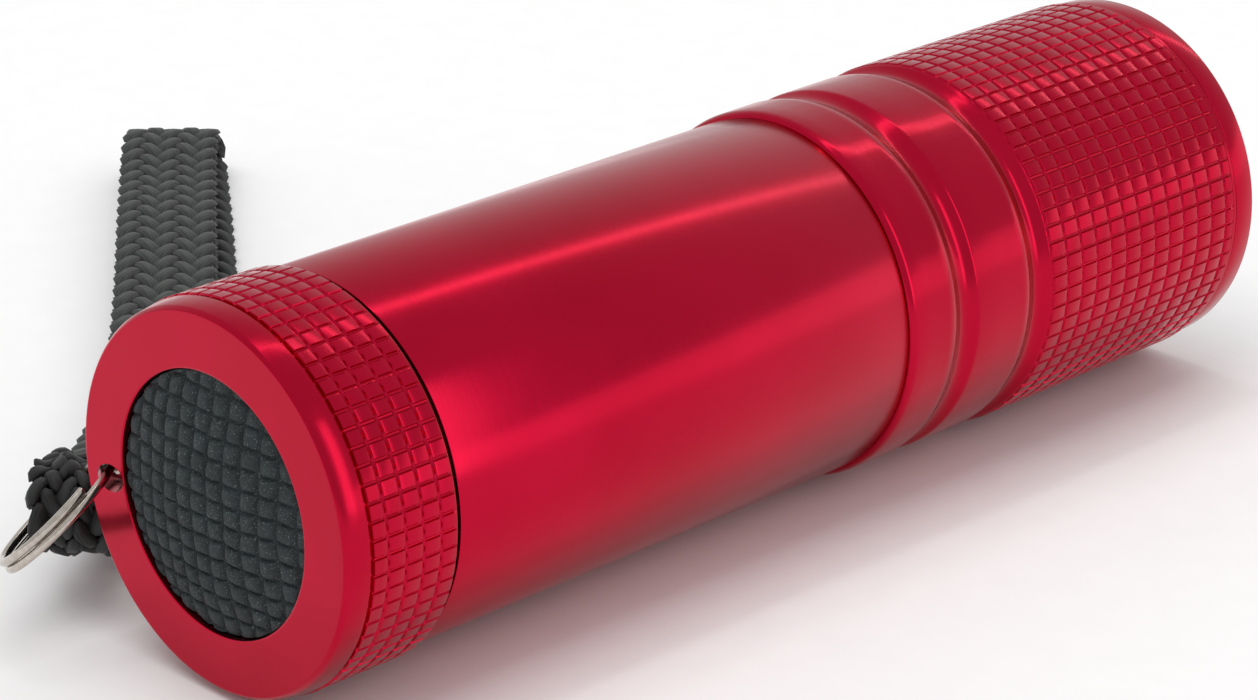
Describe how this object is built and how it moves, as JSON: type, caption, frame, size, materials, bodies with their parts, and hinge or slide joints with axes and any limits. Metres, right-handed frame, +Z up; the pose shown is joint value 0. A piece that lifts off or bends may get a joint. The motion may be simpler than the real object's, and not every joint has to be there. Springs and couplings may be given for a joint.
{
  "type": "keychain flashlight",
  "caption": "Pocket torch in red anodised aluminium with knurled head and tail cap, domed rubber tail switch, split ring and flat braided wrist strap.",
  "frame": {"origin": "middle of the torch's footprint on the surface it lies on", "axes": "+X toward the lens end, +Z up, the split ring on the +Y side of the tail"},
  "size_m": [0.0954, 0.096, 0.0271],
  "materials": {
    "red_anodised": "red anodised, satin",
    "rubber": "matt dark grey moulded rubber",
    "seal_rubber": "black",
    "steel_wire": "nickel-plated wire",
    "brass": "bright",
    "black_plastic": "moulded",
    "white_plastic": "moulded",
    "board": "glass-fibre board with solder mask",
    "lens": "clear",
    "lamp_resin": "clear epoxy",
    "reflector_plating": "metallised plastic",
    "cell_sleeve": "printed steel can, plain",
    "webbing": "flat braided polyester"
  },
  "bodies": {
    "torch_body": {"battery_tube": "red_anodised", "tail_seal": "seal_rubber", "head_seal": "seal_rubber", "head_shell": "red_anodised", "bezel_ring": "red_anodised", "lens": "lens", "lens_seal": "seal_rubber", "reflector": "reflector_plating", "lamps": "lamp_resin", "lamp_leads": "steel_wire", "lamp_board": "board", "board_spring": "steel_wire"},
    "cartridge": {"cartridge_rear_disc": "black_plastic", "cartridge_front_disc": "black_plastic", "cartridge_ribs": "black_plastic", "battery_cell_1": "cell_sleeve", "battery_cell_2": "cell_sleeve", "battery_cell_3": "cell_sleeve", "cell_springs": "steel_wire", "cell_contacts": "brass", "cartridge_front_terminal": "brass", "cartridge_rear_terminal": "brass"},
    "rear_contact": {"contact_spring": "steel_wire"},
    "tail_cap": {"tail_cap": "red_anodised", "switch_housing": "black_plastic", "switch_spring": "steel_wire", "switch_retaining_ring": "brass", "switch_terminal": "brass", "lanyard_strap": "webbing", "lanyard_knot": "webbing"},
    "button": {"button_boot": "rubber", "switch_plunger": "white_plastic"},
    "split_ring": {"split_ring": "steel_wire"}
  },
  "joints": [
    {"name": "cartridge_slide", "type": "slide", "parent": "torch_body", "child": "cartridge", "axis": [-1, 0, 0], "range_m": [0, 0.066]},
    {"name": "cap_travel", "type": "slide", "parent": "cartridge", "child": "rear_contact", "axis": [-1, 0, 0], "range_m": [0, 0.0045]},
    {"name": "cap_unscrew", "type": "hinge", "parent": "rear_contact", "child": "tail_cap", "pos_m": [-0.03699, -0.0026, 0.01355], "axis": [-1, 0, 0], "range_deg": [0, 1620.1]},
    {"name": "button_press", "type": "slide", "parent": "tail_cap", "child": "button", "axis": [1, 0, 0], "range_m": [0, 0.0015], "stiffness_N_per_m": 1400, "springref_m": -0.0007, "deforming": ["button_boot", "switch_spring"]},
    {"name": "ring_swing", "type": "hinge", "parent": "tail_cap", "child": "split_ring", "pos_m": [-0.04001, 0.00917, 0.01198], "axis": [0.7071, 0.7009, -0.0935], "range_deg": [-40, 74], "deforming": ["lanyard_strap", "lanyard_knot"]}
  ],
  "couplings": [
    {"joint": "cap_unscrew", "follows": "cap_travel", "rad_per_m": 6283.2}
  ]
}
